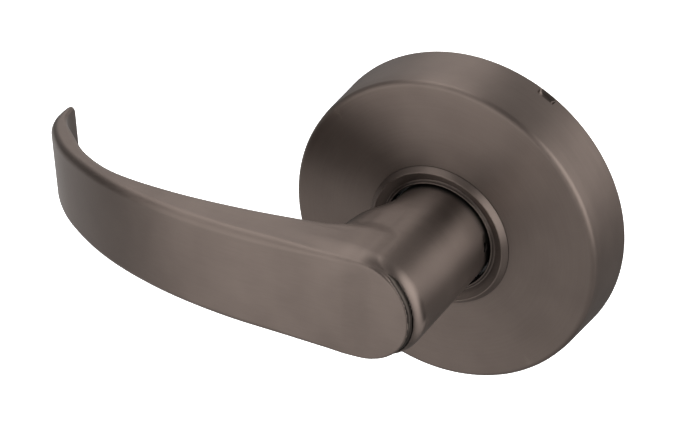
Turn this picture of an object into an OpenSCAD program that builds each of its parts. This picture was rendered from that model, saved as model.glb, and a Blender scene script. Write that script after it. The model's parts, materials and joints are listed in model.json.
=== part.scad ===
// Lever handle lockset: the outside half of a passage trim, as it is lifted off a door.
// A round rose hides a sprung cage; a curved lever turns in it and drives a square spindle.
//
// Every piece is drawn with X to the right, Y up and Z out of the door, Z = 0 on the door.
// on_door() turns that into the part's own frame: the trim faces -Y and +Z is up.
// The origin is on the spindle's axis, in the plane of the door's surface.

/* [Rose] */
// Diameter of the rose where it meets the door
rose_d = 88.9; // [87:0.1:94]
// Height of the rose's face above the door
rose_h = 16.5; // [16.5:0.1:18]
// Radius that the side wall loses between the door and the face
rose_taper = 1.35; // [0.6:0.05:1.4]
// Thickness of the rose's sheet metal
rose_sheet = 1.2; // [0.9:0.1:1.2]
// Radius of the rounded edge around the face
rose_edge_r = 1.6; // [1.3:0.1:2.4]
// Outer diameter of the raised collar around the neck
collar_d = 39.8; // [38.5:0.1:42]
// Height of the collar's crest above the face
collar_h = 1.6; // [1:0.1:2.2]
// Direction of the pry notch in the rim, in degrees from +X towards up
notch_angle = 62; // [55:1:70]

/* [Lever] */
// Distance from the spindle's axis to the lever's tip
lever_reach = 117; // [107:1:127]
// Height of the lever's highest point above the door
lever_rise = 59; // [58:0.5:64]
// Height of the blade beside the neck, top to bottom
blade_h = 28; // [25:0.2:28]
// Diameter of the neck
neck_d = 28.6; // [28:0.1:29]
// Angle that the lever turns, up or down, before the stop
lever_swing = 45; // [30:1:50]
// Diameter of the release hole in the neck
release_d = 2.8; // [2.7:0.1:3]
// Direction of the release hole, in degrees from +X towards up
release_angle = 5.5; // [0:0.5:8]

/* [Mounting] */
// Diameter of the boss that centres the plate in the door's cross bore
boss_d = 53.6; // [53:0.1:54]
// How far the boss enters the door
boss_l = 4; // [3:0.5:6]
// Distance between the two through-bolt posts
post_spacing = 69.85; // [69.5:0.05:70.5]
// Outer diameter of a post
post_d = 7.6; // [7.2:0.1:7.6]
// Bore of a post, for its through-bolt
post_bore_d = 5.2; // [4.6:0.1:5.4]
// How far a post enters the door
post_l = 9; // [6:0.5:14]
// Width of the square spindle across its flats
spindle_w = 8; // [7:0.1:8]
// How far the spindle stands behind the door's surface
spindle_l = 45; // [30:1:60]

/* [Hidden] */
$fn = 96;

bronze = [0.43, 0.38, 0.35];
zinc = [0.72, 0.72, 0.70];
steel = [0.60, 0.61, 0.63];
spring_steel = [0.38, 0.38, 0.40];
bearing_bronze = [0.72, 0.55, 0.30];

slack = 0.05;         // radial clearance of a running or sliding fit
cut = 1;              // how far a cutting shape runs past the surface that it cuts

// plate and spring cage, listed outwards from the door
plate_r = 41.4;
plate_t = 2.4;
plate_hole_r = 16;
boss_wall = 2;
cage_r = 29.6;
cage_bore_r = 24.6;
floor_t = 2;
floor_z = plate_t + floor_t;
track_h = 6.8;
track_z = floor_z + track_h;
cover_t = 1.6;
cage_z = track_z + cover_t;
cage_screw_ring_r = 27.1;
cage_screw_r = 1.6;
cage_screw_head_r = 2.4;
cage_screw_head_h = 1.7;
cage_screw_tip_z = 0.4;

// tube that carries the lever
tube_r = 10.95;
tube_bore_r = 9;
tube_back_z = -1.2;
tube_l = 36.2;
tube_z = tube_back_z + tube_l;
bearing_wall = 1.6;
bearing_flange_r = 14;
bearing_flange_t = 0.6;
bearing_back_z = 0.6;
bearing_r = tube_r + slack;
ring_t = 0.8;
ring_groove_r = 10.3;

// driver that pushes the springs
driver_z = floor_z + bearing_flange_t + slack;
driver_h = 4.95;
driver_r = 16.4;
driver_lug_r = 24;
stop_half_angle = 7;
key_w = 4;
stop_pin_r = 1.2;
stop_pin_ring_r = 15.4;
stop_notch_r = 13.9;

// return springs
spring_ring_r = 20.6;
spring_coil_r = 2.45;
spring_wire_r = 0.55;
spring_z = floor_z + track_h / 2;
spring_turns = 14;
spring_gap_angle = 2;

// lever and its catch
neck_r = neck_d / 2;
neck_back_z = rose_h - 2.3;
neck_front_z = 51.6;
neck_edge = 1.2;
socket_z = tube_z + 2;
rib_w = 3;
release_flat_x = 13.2;
release_flat_z = rose_h + 2.4;
catch_z = rose_h + 1.1;
catch_nose_r = release_d / 2 - 0.1;
catch_nose_x = 13;
catch_body_r = 2.5;
catch_front_x = 8.5;
catch_back_x = 2;
catch_floor_x = -4.5;
bush_r = tube_bore_r - slack;
bush_back_z = -0.6;
bush_z = catch_z + 4.7;
spindle_hole_z = 12;
rib_z = bush_z + 0.5;
spindle_pin_r = 1;
spindle_pin_z = 5;

module on_door() {
    rotate([90, 0, 0]) children();
}

module at_angle(angle, radius) {
    rotate(angle) translate([radius, 0, 0]) children();
}

module ring(outer_r, inner_r, z, h) {
    difference() {
        translate([0, 0, z]) cylinder(r = outer_r, h = h);
        translate([0, 0, z - cut]) cylinder(r = inner_r, h = h + 2 * cut);
    }
}

// ---- curves ----------------------------------------------------------------------------

// points of an arc about centre c, from angle a0 to a1
function arc(c, r, a0, a1, steps) =
    [for (i = [0:steps]) let (a = a0 + (a1 - a0) * i / steps) c + r * [cos(a), sin(a)]];

// Catmull-Rom curve through a list of points, with its ends held
function clamp_index(i, n) = min(max(i, 0), n - 1);
function spline_at(p, i, t) =
    let (n = len(p),
         a = p[clamp_index(i - 1, n)], b = p[i], c = p[i + 1], d = p[clamp_index(i + 2, n)])
    0.5 * (2 * b + (c - a) * t + (2 * a - 5 * b + 4 * c - d) * t * t
           + (3 * b - a - 3 * c + d) * t * t * t);
function spline(p, steps) = concat(
    [for (i = [0:len(p) - 2], k = [0:steps - 1]) spline_at(p, i, k / steps)],
    [p[len(p) - 1]]);
function scaled(p, sx, sy) = [for (q = p) [q[0] * sx, q[1] * sy]];
function reversed(p) = [for (i = [len(p) - 1:-1:0]) p[i]];
function unit(v) = v / norm(v);

// ---- wire springs ----------------------------------------------------------------------

// sweeps a round wire along path(t), which gives [centre of the wire, direction away from the coil's axis]
module wire(path, steps, wire_r, sides = 8) {
    rings = [for (i = [0:steps])
        let (here = path(i / steps),
             ahead = path((i + 0.05) / steps),
             side = cross(unit(ahead[0] - here[0]), here[1]))
        [for (k = [0:sides - 1])
            here[0] + wire_r * (cos(360 * k / sides) * here[1] + sin(360 * k / sides) * side)]];
    walls = [for (i = [0:steps - 1], k = [0:sides - 1])
        let (a = i * sides + k, b = i * sides + (k + 1) % sides)
        each [[a, b + sides, b], [a, a + sides, b + sides]]];
    first_cap = [for (k = [0:sides - 1]) k];
    last_cap = [for (k = [sides - 1:-1:0]) steps * sides + k];
    polyhedron(points = [for (r = rings) each r], faces = concat([first_cap], walls, [last_cap]));
}

// coil bent around the spindle's axis, from angle a0 to a1
module arc_spring(a0, a1) {
    path = function (t)
        let (a = a0 + (a1 - a0) * t,
             turn = 360 * spring_turns * t,
             out = [cos(turn) * cos(a), cos(turn) * sin(a), sin(turn)])
        [[spring_ring_r * cos(a), spring_ring_r * sin(a), spring_z] + spring_coil_r * out, out];
    wire(path, 10 * spring_turns, spring_wire_r);
}

// ---- lever -----------------------------------------------------------------------------

// plan view of the blade (x, z), drawn for a reach of 117 and a rise of 59
drawn_reach = 117;
drawn_rise = 59;
blade_front = [
    [12, 55.5], [4, 55.5], [-17, 57.5], [-39, 59], [-60, 58],
    [-80, 54], [-97, 47], [-108, 39], [-114, 31], [-117, 21]
];
blade_back = [
    [-17, 43.5], [-38, 47.5], [-59, 49.5], [-78, 48.5],
    [-92, 43.5], [-103, 35.5], [-109, 29], [-113, 21]
];
// half height of the blade along its length, as fractions of the reach and of half of blade_h
blade_side = [
    [-0.02, 1.000], [-0.26, 1.000], [-0.52, 0.965], [-0.70, 0.915],
    [-0.80, 0.865], [-0.91, 0.815], [-0.965, 0.755], [-0.99, 0.63], [-1.0, 0.40]
];
blade_end_x = -2;     // centre of the blade's round end
web_h = 20;           // height of the web that joins the neck to the blade

module blade_plan() {
    reach_share = lever_reach / drawn_reach;
    rise_share = lever_rise / drawn_rise;
    front = spline(scaled(blade_front, reach_share, rise_share), 3);
    back = spline(scaled(blade_back, reach_share, rise_share), 3);
    neck_side = [[-12, 40], [13, 40]];
    polygon(concat(front, reversed(back), neck_side));
}

module blade_elevation() {
    top = scaled(blade_side, lever_reach, blade_h / 2);
    bottom = [for (p = reversed(top)) [p[0], -p[1]]];
    end = arc([blade_end_x, 0], blade_h / 2 + 0.1, -88, 88, 22);
    polygon(concat(top, bottom, end));
}

// the web grows out of the neck on the blade's side, as the neck rises from the collar
module web_plan() {
    polygon([
        [-neck_r + 5.5, rose_h + 1.5], [-neck_r + 3.5, rose_h + 4], [-13, rose_h + 9],
        [-15.6, rose_h + 15.5], [-16.1, rose_h + 22], [-20, 43.8], [-20, 50], [0, 50],
        [0, rose_h + 1.5]
    ]);
}

module blade() {
    intersection() {
        rotate([90, 0, 0]) linear_extrude(height = 40, center = true) blade_plan();
        linear_extrude(height = 80) blade_elevation();
    }
}

module neck() {
    translate([0, 0, neck_back_z]) cylinder(r = neck_r, h = neck_front_z - neck_back_z - neck_edge);
    translate([0, 0, neck_front_z - neck_edge])
        cylinder(r1 = neck_r, r2 = neck_r - neck_edge, h = neck_edge);
}

module lever() {
    color(bronze) on_door() {
        difference() {
            union() {
                blade();
                neck();
                rotate([90, 0, 0]) linear_extrude(height = web_h, center = true) web_plan();
            }
            translate([0, 0, neck_back_z - cut]) cylinder(r = bearing_r, h = socket_z - neck_back_z + cut);
            rotate(release_angle) {
                translate([release_flat_x, -neck_r, neck_back_z - cut])
                    cube([neck_r, 2 * neck_r, release_flat_z - neck_back_z + cut]);
                translate([tube_bore_r, 0, catch_z])
                    rotate([0, 90, 0]) cylinder(r = release_d / 2, h = neck_r);
            }
        }
        for (side = [-1, 1])
            translate([-rib_w / 2, side * (tube_r - 0.45) - 1.2, rib_z])
                cube([rib_w, 2.4, socket_z - rib_z + cut]);
    }
}

// ---- rose ------------------------------------------------------------------------------

rose_r = rose_d / 2;
collar_r = collar_d / 2;
collar_bore_r = neck_r + 0.7;
collar_seat_r = collar_bore_r + 2.2;

// radius of the rose's side wall at height z
function rose_wall_r(z) = rose_r - rose_taper * z / rose_h;

module rose_profile() {
    edge_r = rose_wall_r(rose_h);
    inner_edge_r = rose_edge_r - 0.4;
    inside_z = rose_h - rose_sheet;
    polygon(concat(
        [[rose_r - rose_sheet, 0], [rose_r - 0.3, 0], [rose_r, 0.3]],
        arc([edge_r - rose_edge_r, rose_h - rose_edge_r], rose_edge_r, 4, 90, 8),
        [[collar_seat_r, rose_h], [collar_seat_r, inside_z]],
        arc([edge_r - rose_sheet - inner_edge_r, inside_z - inner_edge_r], inner_edge_r, 90, 4, 4)
    ));
}

module rose() {
    notch_w = 5.2;
    notch_h = 1.7;
    color(bronze) on_door() difference() {
        rotate_extrude() rose_profile();
        at_angle(notch_angle, rose_r)
            translate([-3, -notch_w / 2, -cut]) cube([6, notch_w, notch_h + cut]);
    }
}

module rose_collar() {
    crest_r = collar_r - 1.5;
    crest_z = rose_h + collar_h;
    lip_z = rose_h + 0.55;
    skirt_z = rose_h - 2.1;
    color(bronze) on_door() rotate_extrude() polygon(concat(
        [[collar_bore_r, skirt_z], [collar_seat_r, skirt_z], [collar_seat_r, rose_h]],
        [[collar_r, rose_h]],
        arc([crest_r, crest_z - 0.8], 0.8, 40, 110, 5),
        [[collar_bore_r + 0.5, lip_z + 0.1], [collar_bore_r, lip_z - 0.3]]
    ));
}

// ---- mounting --------------------------------------------------------------------------

cage_screw_angles = [45:90:315];
post_sides = [-1, 1];
post_neck_r = post_d / 2 - 0.4;

// countersink in the plate's back, and the post's shoulder that fills it
module post_cone(below) {
    depth = post_d / 2 - post_neck_r;
    translate([0, 0, -below]) cylinder(r1 = post_d / 2 + below, r2 = post_neck_r, h = depth + below);
}
clip_angles = [0:120:240];
clip_rivet_ring_r = 36.6;
clip_rivet_r = 1.5;

module mounting_plate() {
    color(steel) on_door() difference() {
        union() {
            cylinder(r = plate_r, h = plate_t);
            translate([0, 0, -boss_l]) cylinder(r = boss_d / 2, h = boss_l + plate_t / 2);
        }
        translate([0, 0, -boss_l - cut]) cylinder(r = boss_d / 2 - boss_wall, h = boss_l + cut);
        translate([0, 0, -cut]) cylinder(r = plate_hole_r, h = plate_t + 2 * cut);
        for (side = post_sides)
            translate([0, side * post_spacing / 2, 0]) {
                post_cone(0.1);
                translate([0, 0, -cut]) cylinder(r = post_neck_r, h = plate_t + 2 * cut);
            }
        for (angle = clip_angles)
            at_angle(angle, clip_rivet_ring_r)
                translate([0, 0, -cut]) cylinder(r = clip_rivet_r, h = plate_t + 2 * cut);
        for (angle = cage_screw_angles)
            at_angle(angle, cage_screw_ring_r)
                translate([0, 0, cage_screw_tip_z]) cylinder(r = cage_screw_r, h = plate_t);
    }
}

// a post's shoulder sits in the plate's back, and its neck is staked over in front
module mounting_posts() {
    head_r = 4.9;
    head_h = 1.2;
    color(steel) on_door() for (side = post_sides)
        translate([0, side * post_spacing / 2, 0]) difference() {
            union() {
                translate([0, 0, -post_l]) cylinder(d = post_d, h = post_l);
                post_cone(0);
                translate([0, 0, -cut]) cylinder(r = post_neck_r, h = plate_t + head_h / 2 + cut);
                translate([0, 0, plate_t]) cylinder(r = head_r, h = head_h);
            }
            translate([0, 0, -post_l - cut]) cylinder(d = post_bore_d, h = post_l + plate_t - 1 + cut);
        }
}

module clip_profile() {
    t = 0.6;
    bend_r = 40.4;
    grip_r = rose_wall_r(6) - rose_sheet - 0.4;
    polygon([
        [33.6, plate_t], [bend_r + t, plate_t], [bend_r + t, 4.4], [grip_r, 6], [bend_r + t, 7.8],
        [bend_r + 0.2, 7.8], [grip_r - t - 0.2, 6], [bend_r, 4.4], [bend_r, plate_t + t],
        [33.6, plate_t + t]
    ]);
}

module rose_clips() {
    clip_w = 8;
    color(spring_steel) on_door() difference() {
        for (angle = clip_angles)
            rotate(angle) rotate([90, 0, 0]) linear_extrude(height = clip_w, center = true) clip_profile();
        for (angle = clip_angles)
            at_angle(angle, clip_rivet_ring_r)
                translate([0, 0, plate_t - cut]) cylinder(r = clip_rivet_r, h = 3);
    }
}

module clip_rivets() {
    clip_t = 0.6;
    head_h = 0.9;
    head_r = 2.5;
    color(steel) on_door() for (angle = clip_angles)
        at_angle(angle, clip_rivet_ring_r) {
            translate([0, 0, 0.2]) cylinder(r = clip_rivet_r, h = plate_t + clip_t);
            translate([0, 0, plate_t + clip_t]) cylinder(r = head_r, h = head_h);
        }
}

// ---- spring cage -----------------------------------------------------------------------

// block across the spring track, centred on an angle
module track_block(angle, inner_r, outer_r, half_angle, z, h) {
    rotate(angle - half_angle)
        translate([0, 0, z])
            rotate_extrude(angle = 2 * half_angle)
                translate([inner_r, 0]) square([outer_r - inner_r, h]);
}

module cage_housing() {
    color(zinc) on_door() difference() {
        union() {
            ring(cage_r, cage_bore_r, plate_t, floor_t + track_h);
            ring(cage_bore_r + 0.5, bearing_r + bearing_wall, plate_t, floor_t);
            track_block(270, driver_r + 0.6, cage_bore_r + 0.5, stop_half_angle, floor_z - 0.5, track_h + 0.5);
        }
        for (angle = cage_screw_angles)
            at_angle(angle, cage_screw_ring_r)
                translate([0, 0, plate_t - cut]) cylinder(r = cage_screw_r, h = floor_t + track_h + 2 * cut);
        translate([0, -stop_pin_ring_r, plate_t - cut]) cylinder(r = stop_pin_r, h = floor_t + 2 * cut);
    }
}

module cage_cover() {
    color(steel) on_door() difference() {
        ring(cage_r, bearing_r + bearing_wall, track_z, cover_t);
        for (angle = cage_screw_angles)
            at_angle(angle, cage_screw_ring_r)
                translate([0, 0, track_z - cut]) cylinder(r = cage_screw_r, h = cover_t + 2 * cut);
    }
}

module cage_screws() {
    slot_w = 0.9;
    color(steel) on_door() for (angle = cage_screw_angles)
        at_angle(angle, cage_screw_ring_r) difference() {
            union() {
                translate([0, 0, cage_screw_tip_z]) cylinder(r = cage_screw_r, h = cage_z - cage_screw_tip_z + 0.3);
                translate([0, 0, cage_z]) cylinder(r = cage_screw_head_r, h = cage_screw_head_h);
            }
            for (turn = [0, 90])
                rotate(turn) translate([-1.7, -slot_w / 2, cage_z + 0.7]) cube([3.4, slot_w, 2]);
        }
}

module stop_pin() {
    color(steel) on_door() translate([0, -stop_pin_ring_r, plate_t])
        cylinder(r = stop_pin_r, h = floor_t + track_h - 0.6);
}

module rear_bearing() {
    color(bearing_bronze) on_door() {
        ring(bearing_r + bearing_wall, bearing_r, bearing_back_z, floor_z - bearing_back_z + 0.3);
        ring(bearing_flange_r, bearing_r, floor_z, bearing_flange_t);
    }
}

module front_bearing() {
    flange_z = track_z - bearing_flange_t;
    color(bearing_bronze) on_door() {
        ring(bearing_r + bearing_wall, bearing_r, flange_z + 0.3, cage_z - flange_z - 0.3);
        ring(bearing_flange_r, bearing_r, flange_z, bearing_flange_t);
    }
}

module return_spring_left() {
    margin = stop_half_angle + spring_gap_angle;
    color(spring_steel) on_door() arc_spring(90 + margin, 270 - margin);
}

module return_spring_right() {
    margin = stop_half_angle + spring_gap_angle;
    color(spring_steel) on_door() arc_spring(90 - margin, -90 + margin);
}

// ---- pieces that turn with the lever ----------------------------------------------------

module spindle_tube() {
    rear_slot_z = driver_z + driver_h + slack;
    color(steel) on_door() difference() {
        ring(tube_r, tube_bore_r, tube_back_z, tube_l);
        translate([-20, -key_w / 2, tube_back_z - cut]) cube([40, key_w, rear_slot_z - tube_back_z + cut]);
        translate([-rib_w / 2 - slack, -20, rib_z - 0.5]) cube([rib_w + 2 * slack, 40, 20]);
        ring(tube_r + cut, ring_groove_r, bearing_back_z - slack - ring_t, ring_t);
        rotate(release_angle)
            translate([5, 0, catch_z]) rotate([0, 90, 0]) cylinder(r = catch_nose_r + slack, h = 10);
    }
}

module spring_driver() {
    notch_half_angle = lever_swing + asin(stop_pin_r / stop_pin_ring_r) + 0.7;
    key_slack_w = key_w - 2 * slack;
    step = 0.15;      // the lug and the keys stand back this far from the ring's faces
    color(zinc) on_door() {
        difference() {
            union() {
                ring(driver_r, bearing_r, driver_z, driver_h);
                track_block(90, driver_r - 0.5, driver_lug_r, stop_half_angle,
                            driver_z + step, driver_h - 2 * step);
            }
            track_block(270, stop_notch_r, driver_r + 1, notch_half_angle, driver_z - cut, driver_h + 2 * cut);
        }
        for (side = [-1, 1])
            translate([side * 10.5 - 1, -key_slack_w / 2, driver_z + step])
                cube([2, key_slack_w, driver_h - 2 * step]);
    }
}

module wave_washer() {
    color(spring_steel) on_door()
        ring(bearing_flange_r - 0.2, bearing_r + 0.2, driver_z + driver_h + slack, 0.45);
}

module retaining_ring() {
    ring_z = bearing_back_z - slack - ring_t;
    gap_half_angle = 16;
    ear_r = 13.1;
    color(spring_steel) on_door() difference() {
        union() {
            rotate(90 + gap_half_angle)
                translate([0, 0, ring_z])
                    rotate_extrude(angle = 360 - 2 * gap_half_angle)
                        translate([ring_groove_r, 0]) square([2.2, ring_t]);
            for (side = [-1, 1])
                at_angle(90 + side * (gap_half_angle + 4), ear_r)
                    translate([0, 0, ring_z]) cylinder(r = 1.7, h = ring_t);
        }
        translate([0, 0, ring_z - cut]) cylinder(r = ring_groove_r, h = ring_t + 2 * cut);
        for (side = [-1, 1])
            at_angle(90 + side * (gap_half_angle + 4), ear_r)
                translate([0, 0, ring_z - cut]) cylinder(r = 0.7, h = ring_t + 2 * cut);
    }
}

module drive_bush() {
    hole_w = spindle_w + 2 * slack;
    color(zinc) on_door() difference() {
        translate([0, 0, bush_back_z]) cylinder(r = bush_r, h = bush_z - bush_back_z);
        translate([-hole_w / 2, -hole_w / 2, bush_back_z - cut])
            cube([hole_w, hole_w, spindle_hole_z - bush_back_z + cut]);
        rotate(release_angle)
            translate([catch_floor_x, 0, catch_z])
                rotate([0, 90, 0]) cylinder(r = catch_body_r + slack, h = 20);
        translate([0, 20, spindle_pin_z]) rotate([90, 0, 0]) cylinder(r = spindle_pin_r, h = 40);
    }
}

module square_spindle() {
    front_z = spindle_hole_z - 0.3;
    chamfer = 1;
    color(steel) on_door() difference() {
        intersection() {
            translate([-spindle_w / 2, -spindle_w / 2, -spindle_l])
                cube([spindle_w, spindle_w, spindle_l + front_z]);
            union() {
                translate([0, 0, -spindle_l + 2]) cylinder(r = spindle_w, h = spindle_l + front_z - 2);
                translate([0, 0, -spindle_l])
                    cylinder(r1 = spindle_w * 0.5, r2 = spindle_w * 0.5 + 2 * chamfer, h = 2.05);
            }
        }
        translate([0, 20, spindle_pin_z]) rotate([90, 0, 0]) cylinder(r = spindle_pin_r, h = 40);
    }
}

module spindle_pin() {
    half_l = bush_r - 0.3;
    color(spring_steel) on_door() translate([0, half_l, spindle_pin_z])
        rotate([90, 0, 0]) cylinder(r = spindle_pin_r - 0.02, h = 2 * half_l);
}

module lever_catch() {
    tail_r = 1.2;
    tail_l = 2.5;
    color(steel) on_door() rotate(release_angle) translate([0, 0, catch_z]) rotate([0, 90, 0]) {
        translate([0, 0, catch_back_x]) cylinder(r = catch_body_r, h = catch_front_x - catch_back_x);
        translate([0, 0, catch_front_x - 0.5]) cylinder(r = catch_nose_r, h = catch_nose_x - catch_front_x + 0.5);
        translate([0, 0, catch_back_x - tail_l]) cylinder(r = tail_r, h = tail_l + 0.5);
    }
}

module catch_spring() {
    coil_r = 1.85;
    wire_r = 0.25;
    turns = 5;
    start_x = catch_floor_x + wire_r + slack;
    end_x = catch_back_x - wire_r - slack;
    path = function (t)
        let (turn = 360 * turns * t, out = [0, cos(turn), sin(turn)])
        [[start_x + (end_x - start_x) * t, 0, catch_z] + coil_r * out, out];
    color(spring_steel) on_door() rotate(release_angle) wire(path, 10 * turns, wire_r);
}

lever();
rose();
rose_collar();
mounting_plate();
mounting_posts();
rose_clips();
clip_rivets();
cage_housing();
cage_cover();
cage_screws();
rear_bearing();
front_bearing();
stop_pin();
return_spring_left();
return_spring_right();
spindle_tube();
spring_driver();
wave_washer();
retaining_ring();
drive_bush();
square_spindle();
spindle_pin();
lever_catch();
catch_spring();
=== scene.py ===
"""Looks of the lever handle lockset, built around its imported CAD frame.

Shapes are worked out in the door frame of the part: x to the right, v up, h out of the door, in
millimetres. in_row_frame() turns that into Blender metres (x, -h, v).
"""

import json
import math

import bpy
import numpy as np
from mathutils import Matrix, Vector


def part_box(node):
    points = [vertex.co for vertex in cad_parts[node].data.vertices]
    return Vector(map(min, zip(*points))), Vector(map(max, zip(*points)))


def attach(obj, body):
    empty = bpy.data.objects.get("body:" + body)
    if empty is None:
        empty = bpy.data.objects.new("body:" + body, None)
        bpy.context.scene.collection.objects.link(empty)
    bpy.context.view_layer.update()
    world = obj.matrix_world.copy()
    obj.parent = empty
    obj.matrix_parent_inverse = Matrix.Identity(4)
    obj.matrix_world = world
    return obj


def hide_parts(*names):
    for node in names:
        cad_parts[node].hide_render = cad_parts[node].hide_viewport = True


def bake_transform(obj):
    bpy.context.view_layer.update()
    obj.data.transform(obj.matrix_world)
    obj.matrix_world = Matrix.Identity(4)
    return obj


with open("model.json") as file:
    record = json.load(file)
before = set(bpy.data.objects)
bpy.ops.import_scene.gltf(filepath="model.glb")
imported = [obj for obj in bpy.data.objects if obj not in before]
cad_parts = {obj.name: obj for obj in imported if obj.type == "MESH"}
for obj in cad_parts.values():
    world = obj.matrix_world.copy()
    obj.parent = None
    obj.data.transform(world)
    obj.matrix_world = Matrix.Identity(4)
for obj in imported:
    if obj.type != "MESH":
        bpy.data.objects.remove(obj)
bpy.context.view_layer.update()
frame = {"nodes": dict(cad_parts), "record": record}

MM = 0.001


def door_box(node):
    """Lowest and highest corner of a CAD node in the door frame: ((x, v, h), (x, v, h)) in mm."""
    low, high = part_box(node)
    return ((low.x / MM, low.z / MM, -high.y / MM), (high.x / MM, high.z / MM, -low.y / MM))


# ---- sizes, the main ones taken from the frame -----------------------------------------------

lever_low, lever_high = door_box("lever")
rose_low, rose_high = door_box("rose")
collar_low, collar_high = door_box("rose_collar")
tube_low, tube_high = door_box("spindle_tube")

REACH = -lever_low[0]            # spindle axis to the lever's tip
RISE = lever_high[2]             # door to the blade's highest point
NECK_R = lever_high[1]
NECK_BACK = lever_low[2]
NECK_FRONT = RISE - 4.2          # the blade's round end stands proud of the neck's front
BLADE_HALF = NECK_R - 0.3        # half of the blade's height beside the neck
BLADE_END_X = -2.0               # centre of the blade's round end
SOCKET_R = tube_high[1] + 0.05
SOCKET_TOP = tube_high[2] + 2.0

ROSE_R = rose_high[0]
ROSE_FACE = rose_high[2]
ROSE_TAPER = 1.35                # how much smaller the wall's radius is at the face
ROSE_SHEET = 1.2
ROSE_EDGE_R = 1.6
ROSE_RIM_R = 0.4
ROSE_STEPS = 288                 # around the rose
NOTCH_ANGLE = math.radians(62)
NOTCH_HALF = 2.5                 # half of the notch's width
NOTCH_MIDDLE = 1.6               # height of its middle
NOTCH_TALL = 1.2                 # half of its height
NOTCH_DEPTH = 1.15
NOTCH_SQUARENESS = 4
NOTCH_WALL = 0.7                 # under 1 makes the notch's walls steeper
NOTCH_SPREAD = 0.09              # angle each side of the notch that gets a finer mesh
NOTCH_STEPS = 73

COLLAR_R = collar_high[0]
COLLAR_CREST = collar_high[2]
COLLAR_BACK = collar_low[2]
COLLAR_BORE = NECK_R + 0.7
COLLAR_SEAT = COLLAR_BORE + 2.2
COLLAR_STEPS = 256

RELEASE_ANGLE = math.radians(5.5)
RELEASE_FLAT_X = 13.75
RELEASE_FLAT_H = ROSE_FACE + 2.4
RELEASE_HOLE_H = ROSE_FACE + 1.1
RELEASE_HOLE_R = 1.4


# ---- mesh helpers ----------------------------------------------------------------------------

def in_row_frame(points):
    """Door-frame points in mm, as row-frame points in metres."""
    points = np.asarray(points, float)
    return np.stack([points[:, 0], -points[:, 2], points[:, 1]], axis=1) * MM


def new_piece(name, points, faces, material, body, sharp_deg=30.0):
    """A mesh object from door-frame points, shaded smooth up to sharp_deg, riding on a body."""
    mesh = bpy.data.meshes.new(name)
    mesh.from_pydata(in_row_frame(points).tolist(), [], faces)
    mesh.validate()
    mesh.shade_smooth()
    if sharp_deg is not None:
        mesh.set_sharp_from_angle(angle=math.radians(sharp_deg))
    mesh.materials.append(material)
    piece = bpy.data.objects.new(name, mesh)
    bpy.context.scene.collection.objects.link(piece)
    if body:
        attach(piece, body)
    return piece


def arc(centre, radius, start_deg, end_deg, steps):
    """Points of an arc in a profile plane."""
    angles = np.radians(np.linspace(start_deg, end_deg, steps + 1))
    return [(centre[0] + radius * math.cos(a), centre[1] + radius * math.sin(a)) for a in angles]


def lathe(profile, angles):
    """Turns a closed (r, h) profile about the spindle's axis. Returns points and quads."""
    rings, count = len(angles), len(profile)
    points = [(r * math.cos(a), r * math.sin(a), h) for a in angles for r, h in profile]
    faces = []
    for i in range(rings):
        j = (i + 1) % rings
        for k in range(count):
            m = (k + 1) % count
            faces.append((i * count + k, j * count + k, j * count + m, i * count + m))
    return points, faces


def even_angles(count):
    return np.linspace(0, 2 * math.pi, count, endpoint=False)


def sweep_tube(path, outs, radius, sides):
    """A round wire along path. outs are unit vectors across the wire, one per path point."""
    path, outs = np.asarray(path, float), np.asarray(outs, float)
    tangents = np.gradient(path, axis=0)
    tangents /= np.linalg.norm(tangents, axis=1, keepdims=True)
    outs = outs - tangents * np.sum(outs * tangents, axis=1, keepdims=True)
    outs /= np.linalg.norm(outs, axis=1, keepdims=True)
    across = np.cross(tangents, outs)
    turn = np.linspace(0, 2 * math.pi, sides, endpoint=False)
    rings = (path[:, None, :] + radius * (np.cos(turn)[None, :, None] * outs[:, None, :]
                                          + np.sin(turn)[None, :, None] * across[:, None, :]))
    points = rings.reshape(-1, 3)
    faces = []
    for i in range(len(path) - 1):
        for k in range(sides):
            m = (k + 1) % sides
            faces.append((i * sides + k, i * sides + m, (i + 1) * sides + m, (i + 1) * sides + k))
    faces.append(tuple(reversed(range(sides))))
    faces.append(tuple((len(path) - 1) * sides + k for k in range(sides)))
    return points, faces


# ---- curves ----------------------------------------------------------------------------------

def spline(points, steps):
    """Catmull-Rom curve through points, as a dense polyline."""
    p = np.asarray(points, float)
    p = np.vstack([2 * p[0] - p[1], p, 2 * p[-1] - p[-2]])
    t = np.linspace(0, 1, steps, endpoint=False)[:, None]
    pieces = []
    for a, b, c, d in zip(p[:-3], p[1:-2], p[2:-1], p[3:]):
        pieces.append(0.5 * (2 * b + (c - a) * t + (2 * a - 5 * b + 4 * c - d) * t ** 2
                             + (3 * b - a - 3 * c + d) * t ** 3))
    return np.vstack(pieces + [p[-2:-1]])


CHUNK = 40000                    # points handled at a time


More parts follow.
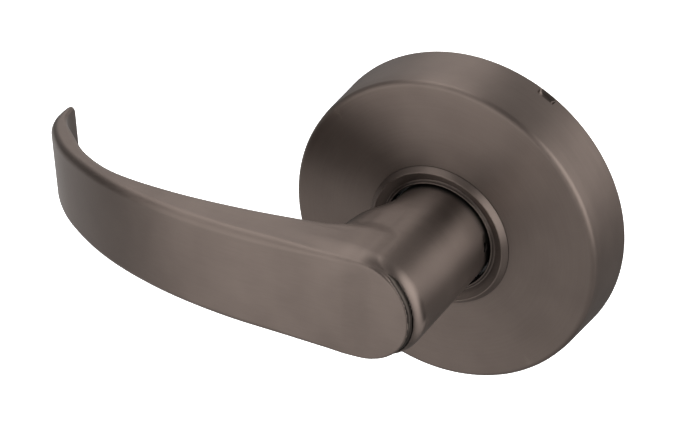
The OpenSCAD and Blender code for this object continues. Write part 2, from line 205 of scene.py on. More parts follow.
def along_curve(curve, x, y, coarse=8):
    """Distance of points from a polyline, positive on its left, and the arc length at the foot.

    The polyline goes on straight past both ends. The nearest part is found among every coarse-th
    point first, then among the segments around it.
    """
    shape = np.broadcast(x, y).shape
    q = np.stack([np.broadcast_to(x, shape).ravel(), np.broadcast_to(y, shape).ravel()], axis=1)
    a, step = curve[:-1], np.diff(curve, axis=0)
    length = np.linalg.norm(step, axis=1)
    start = np.concatenate([[0], np.cumsum(length)[:-1]])
    knots = np.arange(0, len(curve), coarse)
    distance, foot = np.empty(len(q)), np.empty(len(q))
    for lo in range(0, len(q), CHUNK):
        part = q[lo:lo + CHUNK]
        gap = ((part[:, None, :] - curve[knots][None]) ** 2).sum(2)
        near = knots[gap.argmin(1)]
        window = np.clip(near[:, None] + np.arange(-coarse - 1, coarse + 1)[None], 0, len(a) - 1)
        rel = part[:, None, :] - a[window]
        t = (rel * step[window]).sum(2) / length[window] ** 2
        t = np.where(window == 0, np.minimum(t, 1),
                     np.where(window == len(a) - 1, np.maximum(t, 0), np.clip(t, 0, 1)))
        off = rel - t[..., None] * step[window]
        best = (off ** 2).sum(2).argmin(1)
        rows = np.arange(len(part))
        w, off, t = window[rows, best], off[rows, best], t[rows, best]
        side = step[w, 0] * off[:, 1] - step[w, 1] * off[:, 0]
        distance[lo:lo + CHUNK] = np.sign(side) * np.linalg.norm(off, axis=1)
        foot[lo:lo + CHUNK] = start[w] + t * length[w]
    return distance.reshape(shape), foot.reshape(shape)


# ---- the lever as one smooth surface ---------------------------------------------------------

# plan of the blade (x, h), drawn for a reach of 117 and a rise of 59
DRAWN_REACH, DRAWN_RISE = 117.0, 59.0
BLADE_FRONT = [(12, 55.5), (4, 55.5), (-17, 57.5), (-39, 59), (-60, 58), (-80, 54), (-97, 47),
               (-108, 39), (-114, 31), (-117, 21)]
BLADE_BACK = [(-2, 41), (-17, 43.5), (-38, 47.5), (-59, 49.5), (-78, 48.5), (-92, 43.5),
              (-103, 36), (-110.5, 29.5), (-114.5, 21)]
# half height along the front curve: (fraction of its length from the end circle, of BLADE_HALF)
BLADE_SIDE = [(0.0, 1.0), (0.22, 1.0), (0.46, 0.97), (0.63, 0.92), (0.73, 0.87), (0.85, 0.82),
              (0.93, 0.77), (1.0, 0.72)]
# back edge (x, h) of the web that joins the neck to the blade
WEB_BACK = [(-9.5, 18), (-11, 21.5), (-13.5, 26), (-16.5, 31), (-17.5, 35.5), (-18, 39.5),
            (-20, 44), (-24, 47)]
WEB_HALF = 12.5
WEB_ROUND = 8.0
WEB_TOP = 18.0                   # above the middle of the neck
WEB_TOP_ROUND = 2.0
WEB_END_X = 2.0
WEB_FILLET = (2.2, 3.0)          # at the collar, and what it gains towards the blade
END_ROUND = 0.6                  # the blade's front edge, at the round end and along the blade
FRONT_ROUND = 2.2
BACK_ROUND = 2.2                 # its back edge
TIP_ROUND = 2.6                  # the tip, and the front and back edges there
TIP_FRONT_ROUND = 2.2
TIP_BACK_ROUND = 1.1
BLADE_FILLET = 4.0
BLADE_DROP = 0.4                 # the blade sits a little below the neck's axis
NECK_ROUND = 4.0
NECK_BACK_ROUND = 0.5
LEAST_FILLET = 0.05
CREVICE_R = 0.5
CREVICE_SOFT = 0.35
CREVICE_FADE = 1.5               # how far the crevice is moved away where it fades out
CREVICE_DARK = (0.35, 0.85)      # distances where the painted shade in the crevice is full and none
# where each change along the lever begins, and where it is complete
CREVICE_X = (2.0, 8.0)
CREVICE_H = (46.0, 50.0)
CREVICE_V = (-14.0, -9.0)
WEB_FILLET_H = (20.0, 33.0)
WEB_FILLET_X = (2.0, -8.0)
BLADE_FILLET_X = (5.5, -6.0)
FRONT_ROUND_X = (6.0, -30.0)
TIP_X = (-80.0, -112.0)


def fitted(drawn):
    """A drawn outline, stretched to the frame's reach and rise."""
    return [(x * REACH / DRAWN_REACH, h * RISE / DRAWN_RISE) for x, h in drawn]


front_curve = spline(fitted(BLADE_FRONT), 24)
back_curve = spline(fitted(BLADE_BACK), 24)
side_curve = spline(BLADE_SIDE, 12)
web_curve = spline(WEB_BACK, 12)
blade_length = np.linalg.norm(np.diff(front_curve, axis=0), axis=1).sum()
# arc length of the front curve beside the centre of the blade's round end
blade_start = along_curve(front_curve, np.array([BLADE_END_X]), np.array([RISE * 0.95]))[1][0]


def smoothstep(edge0, edge1, value):
    t = np.clip((value - edge0) / (edge1 - edge0), 0, 1)
    return t * t * (3 - 2 * t)


def round_and(a, b, radius):
    """Both fields, with a rounded edge where they meet."""
    corner = np.hypot(np.maximum(a + radius, 0), np.maximum(b + radius, 0))
    return np.minimum(np.maximum(a, b), -radius) + corner


def soft_or(a, b, reach):
    """Either field, with a fillet about reach wide in the corner between them."""
    h = np.maximum(reach - np.abs(a - b), 0) / reach
    return np.minimum(a, b) - h * h * reach / 4


def beyond_web(x, h):
    """How far a point lies outside the back edge of the web."""
    edge, heights = web_curve.T
    slope = np.interp(h, heights, np.gradient(edge, heights))
    return (np.interp(h, heights, edge) - x) / np.sqrt(1 + slope ** 2)


def blade_end(x, v):
    """Distance from the wall of the blade's round end."""
    return np.hypot(x - BLADE_END_X, v + BLADE_DROP) - BLADE_HALF


def neck_body(x, v, h):
    """Distance from the round neck, its front rim rounded over."""
    neck = round_and(np.hypot(x, v) - NECK_R, h - NECK_FRONT, NECK_ROUND)
    return round_and(neck, NECK_BACK - h, NECK_BACK_ROUND)


def from_crevice(x, v, h):
    """Distance from the line where the blade's round end meets the neck, more where it fades."""
    fade = smoothstep(*CREVICE_X, x) * smoothstep(*CREVICE_H, h) * smoothstep(*CREVICE_V, v)
    return np.hypot(blade_end(x, v), neck_body(x, v, h)) + CREVICE_FADE * (1 - fade)


def blade_body(x, v, h):
    """The blade: between its front and back curve, and as high as BLADE_SIDE says."""
    front, foot = along_curve(front_curve, x, h)
    back, _ = along_curve(back_curve, x, h)
    share = np.clip((foot - blade_start) / (blade_length - blade_start), 0, 1)
    half = BLADE_HALF * np.interp(share, *side_curve.T)
    side = round_and(np.abs(v + BLADE_DROP) - half, foot - blade_length, TIP_ROUND)
    outline = np.where(x > BLADE_END_X, blade_end(x, v), side)
    to_tip = smoothstep(*TIP_X, x)
    front_round = END_ROUND + (FRONT_ROUND - END_ROUND) * smoothstep(*FRONT_ROUND_X, x)
    front_round = front_round + (TIP_FRONT_ROUND - FRONT_ROUND) * to_tip
    back_round = BACK_ROUND + (TIP_BACK_ROUND - BACK_ROUND) * to_tip
    return np.maximum(round_and(outline, -front, front_round), round_and(outline, back, back_round))


def web_body(x, v, h):
    """The web that grows out of the neck on the blade's side."""
    web = round_and(beyond_web(x, h), np.abs(v) - WEB_HALF, WEB_ROUND)
    web = round_and(web, h - (NECK_FRONT + NECK_BACK) / 2 - WEB_TOP, WEB_TOP_ROUND)
    return np.maximum(web, x - WEB_END_X)


def release_cuts(x, v, h):
    """The flat and the hole in the neck where the catch shows."""
    c, s = math.cos(RELEASE_ANGLE), math.sin(RELEASE_ANGLE)
    out, aside = x * c + v * s, v * c - x * s
    flat = np.maximum(RELEASE_FLAT_X - out, h - RELEASE_FLAT_H)
    hole = np.maximum(np.hypot(aside, h - RELEASE_HOLE_H) - RELEASE_HOLE_R, -out)
    return np.minimum(flat, hole)


def lever_field(x, v, h):
    """Signed distance, roughly, to the lever's surface; negative inside."""
    at_collar, gain = WEB_FILLET
    reach = (at_collar + gain * smoothstep(*WEB_FILLET_H, h)) * smoothstep(*WEB_FILLET_X, x)
    body = soft_or(neck_body(x, v, h), web_body(x, v, h), 0.02 + reach)
    fillet = LEAST_FILLET + BLADE_FILLET * smoothstep(*BLADE_FILLET_X, x)
    body = soft_or(body, blade_body(x, v, h), fillet)
    body = -soft_or(-body, from_crevice(x, v, h) - CREVICE_R, CREVICE_SOFT)
    socket = np.maximum(np.hypot(x, v) - SOCKET_R, h - SOCKET_TOP)
    return np.maximum(np.maximum(body, -socket), -release_cuts(x, v, h))


def surface_nets(field, axes):
    """Quad mesh of the zero surface of a sampled field, one vertex per mixed cell.

    It is closed, except where the surface runs out of the sampled volume.
    """
    inside = field < 0
    corners = [(i, j, k) for i in (0, 1) for j in (0, 1) for k in (0, 1)]
    size = [n - 1 for n in field.shape]

    def corner(values, at):
        return values[at[0]:at[0] + size[0], at[1]:at[1] + size[1], at[2]:at[2] + size[2]]

    count = sum(corner(inside, at).astype(np.int8) for at in corners)
    mixed = (count > 0) & (count < 8)
    cells = np.argwhere(mixed)
    number = np.full(size, -1, np.int64)
    number[mixed] = np.arange(len(cells))
    total, hits = np.zeros((len(cells), 3)), np.zeros(len(cells))
    for a in corners:
        for axis in range(3):
            if a[axis]:
                continue
            b = tuple(a[n] + (n == axis) for n in range(3))
            fa = field[tuple((cells + a).T)]
            fb = field[tuple((cells + b).T)]
            cross = (fa < 0) != (fb < 0)
            t = np.where(cross, fa / np.where(cross, fa - fb, 1), 0)
            at = np.array(a, float)[None] + t[:, None] * np.eye(3)[axis][None]
            total += at * cross[:, None]
            hits += cross
    origin = np.array([axis[0] for axis in axes])
    step = np.array([axis[1] - axis[0] for axis in axes])
    points = origin + (cells + total / hits[:, None]) * step
    quads = []
    for axis in range(3):
        u, w = (axis + 1) % 3, (axis + 2) % 3
        here = [slice(0, None)] * 3
        ahead = [slice(0, None)] * 3
        here[axis], ahead[axis] = slice(0, -1), slice(1, None)
        low, high = inside[tuple(here)], inside[tuple(ahead)]
        edges = np.argwhere(low != high)
        keep = (edges[:, u] > 0) & (edges[:, w] > 0)
        keep &= (edges[:, u] < size[u]) & (edges[:, w] < size[w])
        edges = edges[keep]
        du, dw = np.eye(3, dtype=int)[u], np.eye(3, dtype=int)[w]
        ring = [number[tuple((edges - off).T)] for off in (du * 0, du, du + dw, dw)]
        ring = np.stack(ring, axis=1)
        flip = ~low[tuple(edges.T)]
        ring[flip] = ring[flip][:, ::-1]
        quads.append(ring)
    return points, np.vstack(quads)


def gradient(points, step=0.04):
    """Direction in which the lever's field grows, from four nearby samples."""
    total = np.zeros_like(points)
    for at in np.array([(1, 1, 1), (1, -1, -1), (-1, 1, -1), (-1, -1, 1)]):
        moved = points + at * step
        total += lever_field(*moved.T)[:, None] * at
    return total / (4 * step)


TINY = 1e-9
WEAKEST_SLOPE = 0.2


def settle(points, limit):
    """Moves points onto the lever's surface, each at most limit far."""
    slope = gradient(points)
    strength = np.maximum((slope ** 2).sum(1), WEAKEST_SLOPE)
    move = -slope * (lever_field(*points.T) / strength)[:, None]
    size = np.linalg.norm(move, axis=1, keepdims=True)
    return points + move * np.minimum(1, limit / np.maximum(size, TINY))


def relax(points, quads):
    """Evens out the mesh by moving each point halfway to the middle of its neighbours."""
    total, count = np.zeros_like(points), np.zeros(len(points))
    for a, b in ((0, 1), (1, 2), (2, 3), (3, 0)):
        for this, other in ((quads[:, a], quads[:, b]), (quads[:, b], quads[:, a])):
            for axis in range(3):
                total[:, axis] += np.bincount(this, points[other, axis], len(points))
            count += np.bincount(this, minlength=len(points))
    return (points + total / count[:, None]) / 2


GRID = 0.4
RELAX_ROUNDS = 3
# room around the lever in the sampled volume, below and above it along x, v and h. The web's body
# isn't cut off at the neck's end, so inside the collar it runs out of the volume and is open there.
ROOM = ((2, 2), (1.7, 1.8), (1.3, 1.5))


def build_lever(material):
    """The lever's casting: blade, neck, web, socket, release flat and hole."""
    low, high = (-REACH, -NECK_R, NECK_BACK), (NECK_R, NECK_R, RISE)
    axes = [np.arange(a - below, b + above, GRID) for a, b, (below, above) in zip(low, high, ROOM)]
    x, v, h = axes[0][:, None, None], axes[1][None, :, None], axes[2][None, None, :]
    points, quads = surface_nets(lever_field(x, v, h), axes)
    for _ in range(RELAX_ROUNDS):
        points = settle(relax(points, quads), GRID / 2)
    points = settle(points, GRID / 2)
    piece = new_piece("lever_casting", points, quads.tolist(), material,
                      "handle", None)
    normals = gradient(points)
    normals /= np.maximum(np.linalg.norm(normals, axis=1, keepdims=True), TINY)
    piece.data.normals_split_custom_set_from_vertices((in_row_frame(normals) / MM).tolist())
    # the crevice attribute is painted shade: a dark line laid along the crevice where the blade's
    # round end meets the neck
    crevice_shade = piece.data.attributes.new("crevice", "FLOAT", "POINT")
    full, none = CREVICE_DARK
    crevice_shade.data.foreach_set("value", smoothstep(none, full, from_crevice(*points.T)))
    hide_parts("lever")


# ---- rose and collar -------------------------------------------------------------------------

def notched(x, v, h):
    """A point of the rose, pressed inwards where the pry notch is."""
    if math.hypot(x, v) < ROSE_R - 2 * ROSE_SHEET:
        return x, v, h
    aside = (math.atan2(v, x) - NOTCH_ANGLE) * ROSE_R / NOTCH_HALF
    level = (h - NOTCH_MIDDLE) / NOTCH_TALL
    shape = max(0.0, 1 - aside ** NOTCH_SQUARENESS) * max(0.0, 1 - level ** NOTCH_SQUARENESS)
    press = 1 - NOTCH_DEPTH * shape ** NOTCH_WALL / ROSE_R
    return x * press, v * press, h


def build_rose(material):
    """Pressed cover with a tapered wall, a rolled edge and a pry notch near its rim."""
    edge_r = ROSE_R - ROSE_TAPER
    inner_round = ROSE_EDGE_R - 0.4
    inside_r = ROSE_R - ROSE_SHEET
    under = ROSE_FACE - ROSE_SHEET
    wall = [(ROSE_R - ROSE_TAPER * h / ROSE_FACE, h)
            for h in [*np.linspace(0.5, 3.0, 14), *np.linspace(4.0, 13.6, 6)]]
    face_rings = [(r, ROSE_FACE) for r in np.linspace(edge_r - ROSE_EDGE_R, COLLAR_SEAT, 14)[1:-1]]
    profile = ([(inside_r, 3.0), (inside_r, 1.6), (inside_r, 0.25), (inside_r + 0.25, 0)]
               + arc((ROSE_R - ROSE_RIM_R, ROSE_RIM_R), ROSE_RIM_R, -90, -10, 4) + wall
               + arc((edge_r - ROSE_EDGE_R, ROSE_FACE - ROSE_EDGE_R), ROSE_EDGE_R, 4, 90, 12)
               + face_rings + [(COLLAR_SEAT, ROSE_FACE), (COLLAR_SEAT, under)]
               + arc((edge_r - ROSE_SHEET - inner_round, under - inner_round), inner_round, 90, 4, 6))
    notch_angles = NOTCH_ANGLE + np.linspace(-NOTCH_SPREAD, NOTCH_SPREAD, NOTCH_STEPS)
    angles = np.sort(np.concatenate([even_angles(ROSE_STEPS), notch_angles]))
    points, faces = lathe(profile, angles)
    points = [notched(*point) for point in points]
    piece = new_piece("rose_cover", points, faces, material, "trim", 40)
    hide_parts("rose")


def build_collar(material):
    """Raised ring around the neck: a domed outer slope, a crest, a cove and a rolled lip."""
    crest_r = COLLAR_R - 1.35
    lip_r = COLLAR_BORE + 0.35
    lip_h = ROSE_FACE + 0.5
    profile = ([(COLLAR_BORE, COLLAR_BACK + 0.3), (COLLAR_BORE + 0.3, COLLAR_BACK),
                (COLLAR_SEAT - 0.3, COLLAR_BACK), (COLLAR_SEAT, COLLAR_BACK + 0.3),
                (COLLAR_SEAT, ROSE_FACE - 0.02), (COLLAR_R - 0.1, ROSE_FACE - 0.02)]
               + arc((COLLAR_R - 0.15, ROSE_FACE + 0.15), 0.15, -10, 50, 3)
               + [(COLLAR_R - 0.45, ROSE_FACE + 0.68), (COLLAR_R - 0.85, ROSE_FACE + 1.18)]
               + arc((crest_r, COLLAR_CREST - 0.3), 0.3, 40, 130, 8)
               + [(crest_r - 0.6, COLLAR_CREST - 0.38), (COLLAR_BORE + 1.8, ROSE_FACE + 0.62)]
               + arc((COLLAR_BORE + 1.15, ROSE_FACE + 0.45), 0.3, -60, -150, 5)
               + arc((lip_r, lip_h), 0.3, 0, 180, 8))
    points, faces = lathe(profile, even_angles(COLLAR_STEPS))
    piece = new_piece("neck_collar", points, faces, material, "trim", 50)
    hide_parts("rose_collar")


# ---- springs ---------------------------------------------------------------------------------

RETURN_WIRE_R = 0.55
RETURN_TURNS = 14
RETURN_MARGIN = math.radians(9)
CATCH_WIRE_R = 0.25
CATCH_TURNS = 5
CATCH_TURN_STEPS = 28
RETURN_TURN_STEPS = 24
CATCH_FLOOR_X = -4.5             # where the catch's bore ends
CATCH_BACK_X = 2.0               # the back of the catch
CATCH_GAP = 0.05
DEAD_TURNS = 1.2                 # closed turns at each end of a spring
DEAD_SHARE = 0.035               # how much of a spring's length they take


def coil_progress(turn, turns):
    """How far along its axis a spring has got after some turns, its end turns lying closed."""
    live = (turn - DEAD_TURNS) / (turns - 2 * DEAD_TURNS)
    early = turn / DEAD_TURNS * DEAD_SHARE
    late = 1 - (turns - turn) / DEAD_TURNS * DEAD_SHARE
    middle = DEAD_SHARE + live * (1 - 2 * DEAD_SHARE)
    return np.where(live < 0, early, np.where(live > 1, late, middle))


def build_return_spring(name, node, side, material):
    """A coil bent round the spindle, from the housing's stop below to the driver's lug above."""
    low, high = door_box(node)
    middle_h = (low[2] + high[2]) / 2
    coil_r = (high[2] - low[2]) / 2 - RETURN_WIRE_R
    ring_r = max(abs(low[0]), abs(high[0])) - coil_r - RETURN_WIRE_R
    turn = np.linspace(0, RETURN_TURNS, RETURN_TURNS * RETURN_TURN_STEPS + 1)
    share = coil_progress(turn, RETURN_TURNS)
    angle = math.pi / 2 + side * (RETURN_MARGIN + (math.pi - 2 * RETURN_MARGIN) * share)
    spin = 2 * math.pi * turn
    c, s = np.cos(angle), np.sin(angle)
    outs = np.stack([np.cos(spin) * c, np.cos(spin) * s, np.sin(spin)], axis=1)
    centre = np.stack([ring_r * c, ring_r * s, np.full_like(c, middle_h)], axis=1)
    points, faces = sweep_tube(centre + coil_r * outs, outs, RETURN_WIRE_R, 10)
    piece = new_piece(name, points, faces, material, None, 50)
    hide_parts(node)
    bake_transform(piece)


def build_catch_spring(material):
    """The small coil behind the lever catch."""
    low, high = door_box("catch_spring")
    middle_h = (low[2] + high[2]) / 2
    coil_r = (high[2] - low[2]) / 2 - CATCH_WIRE_R
    turn = np.linspace(0, CATCH_TURNS, CATCH_TURNS * CATCH_TURN_STEPS + 1)
    share = coil_progress(turn, CATCH_TURNS)
    start = CATCH_FLOOR_X + CATCH_WIRE_R + CATCH_GAP
    end = CATCH_BACK_X - CATCH_WIRE_R - CATCH_GAP
    along = start + (end - start) * share
    spin = 2 * math.pi * turn
    c, s = math.cos(RELEASE_ANGLE), math.sin(RELEASE_ANGLE)
    aside = np.cos(spin)
    outs = np.stack([-s * aside, c * aside, np.sin(spin)], axis=1)
    centre = np.stack([c * along, s * along, np.full_like(along, middle_h)], axis=1)
    points, faces = sweep_tube(centre + coil_r * outs, outs, CATCH_WIRE_R, 8)
    piece = new_piece("catch_coil", points, faces, material, None, 50)
    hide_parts("catch_spring")
    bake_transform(piece)


WASHER_WAVES = 3
WASHER_SHEET = 0.22
WASHER_EDGE = 0.06
WASHER_STEPS = 180


def build_wave_washer(material):
    """Thin spring washer with three waves, inside the height of the CAD ring."""
    low, high = door_box("wave_washer")
    inner_r = tube_high[1] + 0.25
    outer_r = high[0]
    middle, swing = (low[2] + high[2]) / 2, (high[2] - low[2] - WASHER_SHEET) / 2
    half = WASHER_SHEET / 2
    profile = [(inner_r, -half), (outer_r - WASHER_EDGE, -half), (outer_r, 0.0),
               (outer_r - WASHER_EDGE, half), (inner_r, half)]
    points, faces = lathe(profile, even_angles(WASHER_STEPS))
    waved = [(x, v, middle + h + swing * math.cos(WASHER_WAVES * math.atan2(v, x)))
             for x, v, h in points]
    piece = new_piece("waved_washer", waved, faces, material, "handle", 30)
    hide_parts("wave_washer")


# ---- materials -------------------------------------------------------------------------------

class Nodes:
    """A small helper that adds and links shader nodes."""

    def __init__(self, name):
        self.material = bpy.data.materials.new(name)
        self.material.use_nodes = True
        self.tree = self.material.node_tree
        self.tree.nodes.clear()

    @classmethod
    def of_tree(cls, tree):
        """The same helper around a node tree that exists already."""
        helper = cls.__new__(cls)
        helper.tree = tree
        tree.nodes.clear()
        return helper

    def add(self, kind, settings=None, **inputs):
        node = self.tree.nodes.new(kind)
        for key, value in (settings or {}).items():
            setattr(node, key, value)
        for key, value in inputs.items():
            self.set(node, key, value)
        return node

    def set(self, node, key, value):
        """Sets or links one input, by name (with _ for spaces) or by index (such as _0)."""
        socket = node.inputs[int(key[1:])] if key[0] == "_" else node.inputs[key.replace("_", " ")]
        if isinstance(value, bpy.types.NodeSocket):
            self.tree.links.new(value, socket)
        else:
            socket.default_value = value

    def math(self, operation, a, b=0.0):
        return self.add("ShaderNodeMath", {"operation": operation}, _0=a, _1=b).outputs[0]

    def vector(self, operation, a, b):
        return self.add("ShaderNodeVectorMath", {"operation": operation}, _0=a, _1=b).outputs[0]

    def noise(self, vector, scale, detail=3.0, roughness=0.5):
        node = self.add("ShaderNodeTexNoise", None, Vector=vector, Scale=scale, Detail=detail,
                        Roughness=roughness)
        return node.outputs["Fac"]

    def ramp(self, value, low, high):
        """0 at low and 1 at high, clamped beyond them."""
        return self.add("ShaderNodeMapRange", None, Value=value, _1=low, _2=high).outputs[0]

    def mix(self, factor, a, b):
        node = self.add("ShaderNodeMix", {"data_type": "RGBA"})
        self.set(node, "_0", factor)
        for index, value in ((6, a), (7, b)):
            if isinstance(value, bpy.types.NodeSocket):
                self.tree.links.new(value, node.inputs[index])
            else:
                node.inputs[index].default_value = (*value, 1.0)
        return node.outputs[2]

    def mix_vector(self, factor, a, b):
        node = self.add("ShaderNodeMix", {"data_type": "VECTOR"})
        self.set(node, "_0", factor)
        self.set(node, "_4", a)
        self.set(node, "_5", b)
        return node.outputs[1]

    def finish(self, **inputs):
        shader = self.add("ShaderNodeBsdfPrincipled", None, **inputs)
        out = self.add("ShaderNodeOutputMaterial")
        self.tree.links.new(shader.outputs[0], out.inputs[0])
        return self.material


def position(n):
    """Object position in millimetres, as a vector and its three parts."""
    coordinates = n.add("ShaderNodeTexCoord").outputs["Object"]
    scaled = n.add("ShaderNodeVectorMath", {"operation": "SCALE"}, _0=coordinates, Scale=1 / MM)
    parts = n.add("ShaderNodeSeparateXYZ", None, Vector=scaled.outputs[0])
    return scaled.outputs[0], parts.outputs


def around_axis(n, parts):
    """Distance from the spindle axis and angle about it."""
    radius = n.math("SQRT", n.math("ADD", n.math("MULTIPLY", parts[0], parts[0]),
                                   n.math("MULTIPLY", parts[2], parts[2])))
    angle = n.math("ARCTAN2", parts[2], parts[0])
    return radius, angle


def world_vector(n, vector):
    """An object-space direction, turned with the object into world space."""
    spaces = {"vector_type": "VECTOR", "convert_from": "OBJECT", "convert_to": "WORLD"}
    return n.add("ShaderNodeVectorTransform", spaces, Vector=vector).outputs[0]


BRONZE_LIGHT = (0.180, 0.144, 0.126)
BRONZE_DARK = (0.152, 0.121, 0.106)
BRONZE_WORN = (0.25, 0.20, 0.17)
# colour of painted shade, laid where ambient occlusion finds hollows and along the lever's crevice
PAINTED_SHADE = (0.030, 0.027, 0.024)
BRONZE_ROUGHNESS = 0.43
BRONZE_ANISOTROPY = 0.84
ACROSS_GRAIN = 0.25              # a quarter turn, so that highlights spread across the grain
BLADE_H = (-50.0, -44.0)         # object y where the blade's grain gives way to the neck's
BLADE_RADIUS = (18.0, 15.0)      # and the same for the distance from the axis


def bronze(name, brushing):
    """Oil-rubbed bronze with a satin brushed grain, and painted shade in hollows and along the
    lever's crevice.

    The grain runs round the spindle ("round"), or along the blade and round the neck ("lever").
    """
    n = Nodes(name)
    place, parts = position(n)
    radius, angle = around_axis(n, parts)
    grain_at = n.add("ShaderNodeCombineXYZ", None, X=radius, Y=n.math("MULTIPLY", angle, 0.9),
                     Z=parts[1]).outputs[0]
    tangent = n.add("ShaderNodeCombineXYZ", None, X=n.math("MULTIPLY", parts[2], -1.0 / NECK_R),
                    Z=n.math("MULTIPLY", parts[0], 1.0 / NECK_R)).outputs[0]
    if brushing == "lever":
        on_neck = n.math("MULTIPLY", n.ramp(parts[1], *BLADE_H), n.ramp(radius, *BLADE_RADIUS))
        grain_at = n.mix_vector(on_neck, n.vector("MULTIPLY", place, (0.035, 1.0, 1.0)), grain_at)
        tangent = n.mix_vector(on_neck, (-1.0, 0.0, 0.0), tangent)
    tangent = world_vector(n, tangent)
    fine = n.noise(grain_at, 9.0, 2.0)
    streak = n.noise(grain_at, 2.2, 3.0)
    cloud = n.noise(place, 0.07, 3.0)
    speck = n.noise(place, 2.6, 2.0)
    tone = n.math("ADD", n.math("MULTIPLY", cloud, 0.7), n.math("MULTIPLY", streak, 0.3))
    color = n.mix(n.ramp(tone, 0.36, 0.64), BRONZE_DARK, BRONZE_LIGHT)
    if brushing == "round":
        edge = n.add("ShaderNodeNewGeometry").outputs["Pointiness"]
        worn = n.math("MULTIPLY", n.ramp(edge, 0.54, 0.62), n.ramp(speck, 0.35, 0.7))
        color = n.mix(n.math("MULTIPLY", worn, 0.5), color, BRONZE_WORN)
    # painted shade: darker where ambient occlusion finds hollows and nooks
    open_air = n.add("ShaderNodeAmbientOcclusion", {"samples": 6}, Distance=0.003).outputs["AO"]
    color = n.mix(n.ramp(open_air, 0.35, 0.85), PAINTED_SHADE, color)
    # painted shade along the lever's crevice, read from its crevice attribute
    if brushing == "lever":
        crevice = n.add("ShaderNodeAttribute", {"attribute_name": "crevice"}).outputs["Fac"]
        color = n.mix(n.math("MULTIPLY", crevice, 0.9), color, PAINTED_SHADE)
    rough = n.math("ADD", BRONZE_ROUGHNESS - 0.08, n.math("MULTIPLY", streak, 0.10))
    rough = n.math("ADD", rough, n.math("MULTIPLY", cloud, 0.06))
    bump = n.add("ShaderNodeBump", None, Strength=0.16, Distance=0.00003, Height=fine).outputs[0]
    return n.finish(Base_Color=color, Metallic=1.0, Roughness=rough, Normal=bump,
                    Anisotropic=BRONZE_ANISOTROPY, Anisotropic_Rotation=ACROSS_GRAIN, Tangent=tangent)


def plain_metal(name, light, dark, roughness, grain=3.0, pits=0.0):
    """A duller hidden metal: mottled tone, painted shade in hollows, uneven roughness and a fine
    grain or cast pitting.
    """
    n = Nodes(name)
    place, _ = position(n)
    cloud = n.noise(place, 0.12, 3.0)
    fine = n.noise(place, grain, 4.0, 0.6)
    color = n.mix(n.ramp(cloud, 0.35, 0.65), dark, light)
    # painted shade: darker where ambient occlusion finds hollows and nooks
    open_air = n.add("ShaderNodeAmbientOcclusion", {"samples": 4}, Distance=0.006).outputs["AO"]
    color = n.mix(n.ramp(open_air, 0.15, 0.65), PAINTED_SHADE, color)
    rough = n.math("ADD", roughness - 0.08, n.math("MULTIPLY", fine, 0.18))
    bump = n.add("ShaderNodeBump", None, Strength=0.12 + pits, Distance=0.00005, Height=fine)
    return n.finish(Base_Color=color, Metallic=1.0, Roughness=rough, Normal=bump.outputs[0])


EDGE_BREAK = 0.00012             # metres, as modifiers take it
SAME_POINT = 1e-6
SHARP_ANGLE = math.radians(38)


def soften_edges(cad):
    """Breaks a CAD node's sharp edges with a hair-thin bevel that catches the light."""
    weld = cad.modifiers.new("weld", "WELD")
    weld.merge_threshold = SAME_POINT
    bevel = cad.modifiers.new("edge_break", "BEVEL")
    bevel.width = EDGE_BREAK
    bevel.segments = 2
    bevel.limit_method = "ANGLE"
    bevel.angle_limit = SHARP_ANGLE


# ---- scene -----------------------------------------------------------------------------------

# soft lights: (direction they come from, radiance, cosine where they start, cosine where full)
SOFT_LIGHTS = [
    ((-0.14, -0.83, -0.54), 0.57, 0.55, 1.0),
    ((-0.33, -0.93, 0.08), 0.70, 0.76, 0.98),
    ((0.90, -0.15, 0.37), 3.2, 0.72, 0.98),
    ((-0.42, 0.08, 0.90), 2.2, 0.87, 0.985),
    ((-0.20, 0.80, 0.52), 0.62, 0.45, 0.85),
    ((-0.86, 0.10, -0.49), 0.58, 0.80, 0.97),
    ((0.85, 0.00, -0.52), 0.50, 0.80, 0.98),
]
FILL = 0.24
NEAR_LIGHT_AT = Vector((-0.052, -0.128, 0.038))
NEAR_LIGHT_AIM = Vector((0.0, -0.0165, 0.036))
NEAR_LIGHT_D = 0.15
NEAR_LIGHT_WATTS = 0.040
FLOOR_HALF = 6.0
FLOOR_Z = -0.16


def build_floor():
    """A pale floor that the camera sees and the object doesn't."""
    corners = [(-1, -1), (1, -1), (1, 1), (-1, 1)]
    floor_mesh = bpy.data.meshes.new("floor")
    floor_mesh.from_pydata([(FLOOR_HALF * x, FLOOR_HALF * y, FLOOR_Z) for x, y in corners],
                           [], [(0, 1, 2, 3)])
    n = Nodes("pale_floor")
    place, _ = position(n)
    grain = n.noise(place, 0.02, 2.0)
    pale = n.mix(grain, (0.93, 0.93, 0.93), (0.96, 0.96, 0.96))
    floor_mesh.materials.append(n.finish(Base_Color=pale, Roughness=0.9, Emission_Color=pale,
                                         Emission_Strength=1.0))
    floor = bpy.data.objects.new("floor", floor_mesh)
    floor.visible_glossy = False
    floor.visible_diffuse = False
    bpy.context.scene.collection.objects.link(floor)


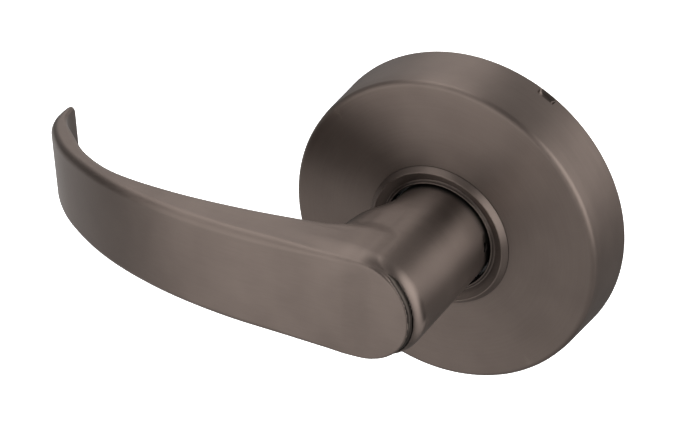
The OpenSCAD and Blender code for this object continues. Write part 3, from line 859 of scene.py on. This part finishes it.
def build_world():
    """Soft lights around the object; the camera sees plain white instead."""
    world = bpy.data.worlds.new("studio")
    world.use_nodes = True
    n = Nodes.of_tree(world.node_tree)
    toward = n.add("ShaderNodeTexCoord").outputs["Generated"]
    level = FILL
    for direction, radiance, start, full in SOFT_LIGHTS:
        aim = Vector(direction).normalized()
        facing = n.add("ShaderNodeVectorMath", {"operation": "DOT_PRODUCT"}, _0=toward, _1=aim)
        lobe = n.add("ShaderNodeMapRange", {"interpolation_type": "SMOOTHERSTEP"},
                     _0=facing.outputs["Value"], _1=start, _2=full, _3=0.0, _4=radiance)
        level = n.math("ADD", level, lobe.outputs[0])
    seen = n.add("ShaderNodeLightPath").outputs["Is Camera Ray"]
    level = n.math("ADD", n.math("MULTIPLY", level, n.math("SUBTRACT", 1.0, seen)), seen)
    light = n.add("ShaderNodeBackground", None, Color=(1.0, 1.0, 1.0, 1.0), Strength=level)
    n.tree.links.new(light.outputs[0], n.add("ShaderNodeOutputWorld").inputs[0])
    bpy.context.scene.world = world


def build_near_light():
    """A small soft lamp near the trim, which makes the light fall off across it."""
    near = bpy.data.lights.new("near_light", "AREA")
    near.shape = "DISK"
    near.size = NEAR_LIGHT_D
    near.energy = NEAR_LIGHT_WATTS
    lamp = bpy.data.objects.new("near_light", near)
    lamp.location = NEAR_LIGHT_AT
    aim = NEAR_LIGHT_AIM - NEAR_LIGHT_AT
    lamp.rotation_euler = aim.to_track_quat("-Z", "Y").to_euler()
    lamp.visible_camera = False
    bpy.context.scene.collection.objects.link(lamp)


CAMERA_AZIMUTH = math.radians(30.42)
CAMERA_ELEVATION = math.radians(31.62)
CAMERA_DISTANCE = 0.4
CAMERA_AIM = Vector((-0.0293, -0.0180, -0.0011))
CAMERA_LENS = 80.1
CAMERA_SENSOR = 36.0


def build_camera():
    """The photograph's view: from the right of the trim and above it."""
    data = bpy.data.cameras.new("camera")
    data.sensor_width = CAMERA_SENSOR
    data.lens = CAMERA_LENS
    data.clip_start = 0.01
    eye = bpy.data.objects.new("camera", data)
    ca, sa = math.cos(CAMERA_AZIMUTH), math.sin(CAMERA_AZIMUTH)
    ce, se = math.cos(CAMERA_ELEVATION), math.sin(CAMERA_ELEVATION)
    back = Vector((sa * ce, -ca * ce, se))
    eye.location = CAMERA_AIM + CAMERA_DISTANCE * back
    eye.rotation_euler = (math.pi / 2 - CAMERA_ELEVATION, 0.0, CAMERA_AZIMUTH)
    bpy.context.scene.collection.objects.link(eye)
    bpy.context.scene.camera = eye
    bpy.context.scene.view_settings.view_transform = "Standard"


build_floor()
build_world()
build_near_light()
build_camera()

bronze_round = bronze("bronze_spun", "round")
bronze_long = bronze("bronze_brushed", "lever")
NODE_FINISH = {
    "zinc_plated_steel": plain_metal("zinc_plate", (0.60, 0.61, 0.62), (0.48, 0.49, 0.50), 0.34),
    "turned_steel": plain_metal("turned_steel", (0.56, 0.56, 0.57), (0.42, 0.42, 0.43), 0.30),
    "spring_steel": plain_metal("spring_steel", (0.24, 0.24, 0.25), (0.15, 0.15, 0.16), 0.36),
    "cast_zinc": plain_metal("cast_zinc", (0.50, 0.50, 0.49), (0.38, 0.38, 0.37), 0.46, 1.5, 0.2),
    "sintered_bronze": plain_metal("sintered_bronze", (0.45, 0.29, 0.13), (0.32, 0.19, 0.08), 0.5,
                                   6.0, 0.3),
    "bronze_finish": bronze_round,
}

build_lever(bronze_long)
build_rose(bronze_round)
build_collar(bronze_round)
build_return_spring("return_coil_left", "return_spring_left", 1, NODE_FINISH["spring_steel"])
build_return_spring("return_coil_right", "return_spring_right", -1, NODE_FINISH["spring_steel"])
build_catch_spring(NODE_FINISH["spring_steel"])
build_wave_washer(NODE_FINISH["spring_steel"])

for entry in frame["record"]["subparts"]:
    cad = frame["nodes"][entry["node"]]
    cad.data.materials.clear()
    cad.data.materials.append(NODE_FINISH[entry["material_slot"]])
    if not cad.hide_render:
        soften_edges(cad)
